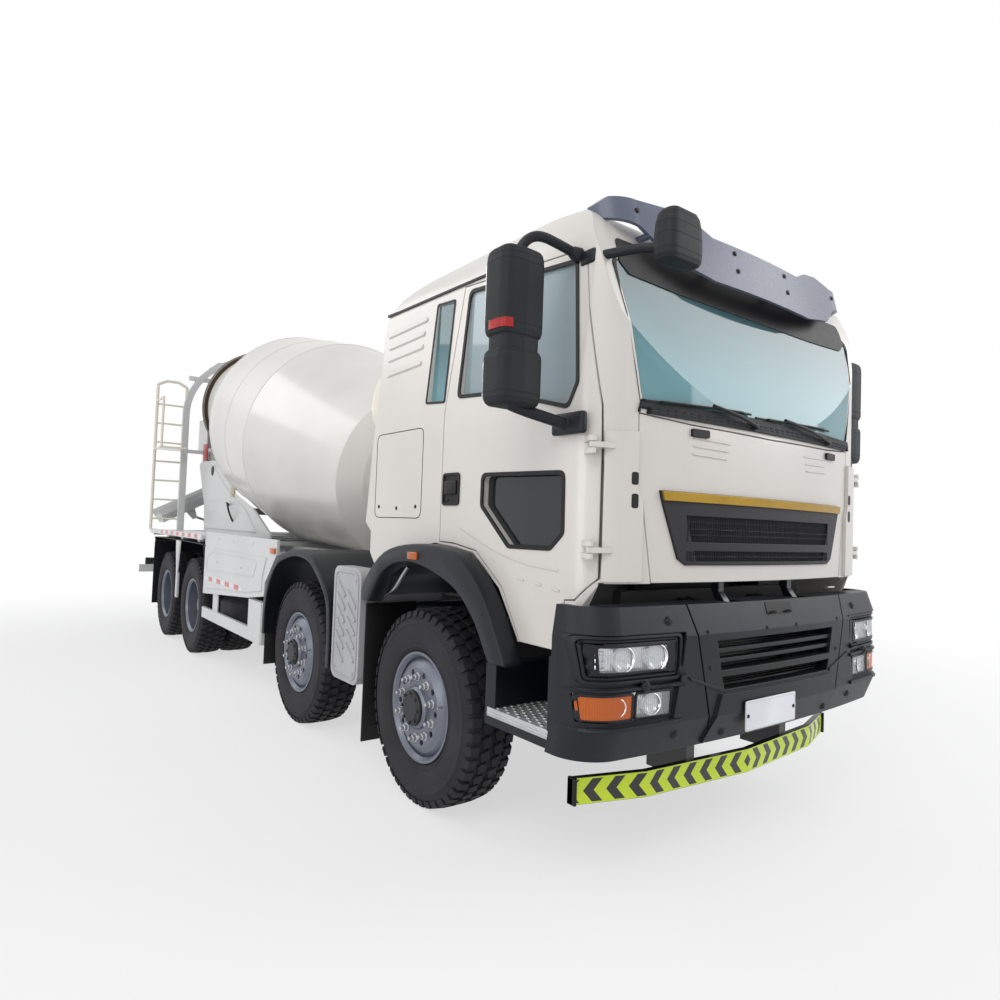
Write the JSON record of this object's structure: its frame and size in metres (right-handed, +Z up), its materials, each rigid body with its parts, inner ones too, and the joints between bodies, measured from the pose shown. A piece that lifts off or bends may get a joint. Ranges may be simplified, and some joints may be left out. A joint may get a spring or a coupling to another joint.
{
  "type": "concrete mixer truck",
  "caption": "Concrete mixer truck with a tilting cab, opening doors, steered front axles, rolling twin wheels, a turning drum, hopper and swivelling chute.",
  "frame": {"origin": "on the ground, at the middle of the overall length and width", "axes": "+X forward, +Y to the truck's left, +Z up"},
  "size_m": [9.75, 3.024, 3.9298],
  "materials": {
    "aluminium": "brushed",
    "chassis_grey": "satin dark grey",
    "cover_grey": "satin light grey",
    "dark_plastic": "matt dark blue-black",
    "drum_white": "semi-gloss white",
    "frame_white": "semi-gloss white",
    "glass": "clear tinted",
    "interior": "matt",
    "ladder_cream": "satin cream",
    "lamp": "clear lens",
    "painted_white": "semi-gloss warm white",
    "steel": "machined",
    "tyre": "matt",
    "underrun": "lime yellow with black chevrons",
    "visor_plastic": "smoked",
    "wheel": "satin grey-silver"
  },
  "bodies": {
    "chassis": {"chassis_frame": "chassis_grey", "front_axles": "chassis_grey", "rear_axles": "chassis_grey", "powertrain": "chassis_grey", "fuel_tank": "aluminium", "side_boxes": "cover_grey", "spare_wheel": "tyre", "mixer_subframe": "frame_white", "drum_reducer": "chassis_grey", "rear_pedestal": "frame_white", "hopper": "frame_white", "collector": "frame_white", "bumper": "dark_plastic", "lamps": "lamp", "underrun_bar": "underrun", "step_boxes": "dark_plastic", "side_skirts": "frame_white", "mudguards": "dark_plastic", "rear_deck": "frame_white", "ladder": "ladder_cream", "water_tank": "ladder_cream"},
    "cab": {"cab_shell": "painted_white", "cab_glass": "glass", "cab_arches": "dark_plastic", "sun_visor": "visor_plastic", "front_mirror": "dark_plastic", "cab_interior": "interior"},
    "front_flap": {"front_panel": "painted_white", "grille": "dark_plastic"},
    "door_right": {"door_right": "painted_white", "door_glass_right": "glass", "mirror_right": "dark_plastic"},
    "door_left": {"door_left": "painted_white", "door_glass_left": "glass", "mirror_left": "dark_plastic"},
    "drum": {"drum_shell": "drum_white"},
    "turntable": {"chute_turntable": "frame_white"},
    "chute": {"chute": "frame_white"},
    "jack_barrel": {"jack_barrel": "chassis_grey"},
    "jack_rod": {"jack_rod": "steel"},
    "knuckle_1_right": {"knuckle_1_right": "chassis_grey"},
    "wheel_1_right": {"tyre_1_right": "tyre", "wheel_1_right": "wheel"},
    "knuckle_1_left": {"knuckle_1_left": "chassis_grey"},
    "wheel_1_left": {"tyre_1_left": "tyre", "wheel_1_left": "wheel"},
    "knuckle_2_right": {"knuckle_2_right": "chassis_grey"},
    "wheel_2_right": {"tyre_2_right": "tyre", "wheel_2_right": "wheel"},
    "knuckle_2_left": {"knuckle_2_left": "chassis_grey"},
    "wheel_2_left": {"tyre_2_left": "tyre", "wheel_2_left": "wheel"},
    "wheel_3_right": {"tyre_3_right": "tyre", "wheel_3_right": "wheel"},
    "wheel_3_left": {"tyre_3_left": "tyre", "wheel_3_left": "wheel"},
    "wheel_4_right": {"tyre_4_right": "tyre", "wheel_4_right": "wheel"},
    "wheel_4_left": {"tyre_4_left": "tyre", "wheel_4_left": "wheel"}
  },
  "joints": [
    {"name": "cab_tilt", "type": "hinge", "parent": "chassis", "child": "cab", "pos_m": [4.68, 0, 1.2], "axis": [0, 1, 0], "range_deg": [0, 50]},
    {"name": "flap_lift", "type": "hinge", "parent": "cab", "child": "front_flap", "pos_m": [4.706, 0, 2.085], "axis": [0, -1, 0], "range_deg": [0, 75]},
    {"name": "door_right_swing", "type": "hinge", "parent": "cab", "child": "door_right", "pos_m": [4.596, -1.133, 1.9], "axis": [0, 0, 1], "range_deg": [0, 70]},
    {"name": "door_left_swing", "type": "hinge", "parent": "cab", "child": "door_left", "pos_m": [4.596, 1.133, 1.9], "axis": [0, 0, -1], "range_deg": [0, 70]},
    {"name": "drum_spin", "type": "hinge", "parent": "chassis", "child": "drum", "pos_m": [1.225, 0, 1.967], "axis": [-0.9694, 0, 0.2453], "continuous": true},
    {"name": "chute_swivel", "type": "hinge", "parent": "chassis", "child": "turntable", "pos_m": [-4.44, 0, 1.5], "axis": [0, 0, -1], "range_deg": [0, 180]},
    {"name": "chute_tilt", "type": "hinge", "parent": "turntable", "child": "chute", "pos_m": [-4.44, -0.11, 1.88], "axis": [1, 0, 0], "range_deg": [-12, 10]},
    {"name": "jack_swing", "type": "hinge", "parent": "turntable", "child": "jack_barrel", "pos_m": [-4.44, -0.12, 1.4], "axis": [1, 0, 0], "range_deg": [-12, 12]},
    {"name": "jack_slide", "type": "slide", "parent": "jack_barrel", "child": "jack_rod", "axis": [0, -0.9552, 0.2958], "range_m": [-0.12, 0.12]},
    {"name": "steer_1_right", "type": "hinge", "parent": "chassis", "child": "knuckle_1_right", "pos_m": [3.3, -0.88, 0.54], "axis": [0, 0, 1], "range_deg": [-32, 32]},
    {"name": "roll_1_right", "type": "hinge", "parent": "knuckle_1_right", "child": "wheel_1_right", "pos_m": [3.3, -1.015, 0.54], "axis": [0, 1, 0], "continuous": true},
    {"name": "steer_1_left", "type": "hinge", "parent": "chassis", "child": "knuckle_1_left", "pos_m": [3.3, 0.88, 0.54], "axis": [0, 0, 1], "range_deg": [-32, 32]},
    {"name": "roll_1_left", "type": "hinge", "parent": "knuckle_1_left", "child": "wheel_1_left", "pos_m": [3.3, 1.015, 0.54], "axis": [0, 1, 0], "continuous": true},
    {"name": "steer_2_right", "type": "hinge", "parent": "chassis", "child": "knuckle_2_right", "pos_m": [1.47, -0.88, 0.54], "axis": [0, 0, 1], "range_deg": [-23, 23]},
    {"name": "roll_2_right", "type": "hinge", "parent": "knuckle_2_right", "child": "wheel_2_right", "pos_m": [1.47, -1.015, 0.54], "axis": [0, 1, 0], "continuous": true},
    {"name": "steer_2_left", "type": "hinge", "parent": "chassis", "child": "knuckle_2_left", "pos_m": [1.47, 0.88, 0.54], "axis": [0, 0, 1], "range_deg": [-23, 23]},
    {"name": "roll_2_left", "type": "hinge", "parent": "knuckle_2_left", "child": "wheel_2_left", "pos_m": [1.47, 1.015, 0.54], "axis": [0, 1, 0], "continuous": true},
    {"name": "roll_3_right", "type": "hinge", "parent": "chassis", "child": "wheel_3_right", "pos_m": [-1.71, -0.887, 0.54], "axis": [0, 1, 0], "continuous": true},
    {"name": "roll_3_left", "type": "hinge", "parent": "chassis", "child": "wheel_3_left", "pos_m": [-1.71, 0.887, 0.54], "axis": [0, 1, 0], "continuous": true},
    {"name": "roll_4_right", "type": "hinge", "parent": "chassis", "child": "wheel_4_right", "pos_m": [-3.06, -0.887, 0.54], "axis": [0, 1, 0], "continuous": true},
    {"name": "roll_4_left", "type": "hinge", "parent": "chassis", "child": "wheel_4_left", "pos_m": [-3.06, 0.887, 0.54], "axis": [0, 1, 0], "continuous": true}
  ],
  "couplings": [
    {"joint": "jack_swing", "follows": "chute_tilt", "ratio": 0.7279},
    {"joint": "jack_slide", "follows": "chute_tilt", "m_per_rad": -0.46148},
    {"joint": "steer_1_left", "follows": "steer_1_right", "ratio": 1},
    {"joint": "steer_2_right", "follows": "steer_1_right", "ratio": 0.7},
    {"joint": "steer_2_left", "follows": "steer_1_right", "ratio": 0.7}
  ]
}
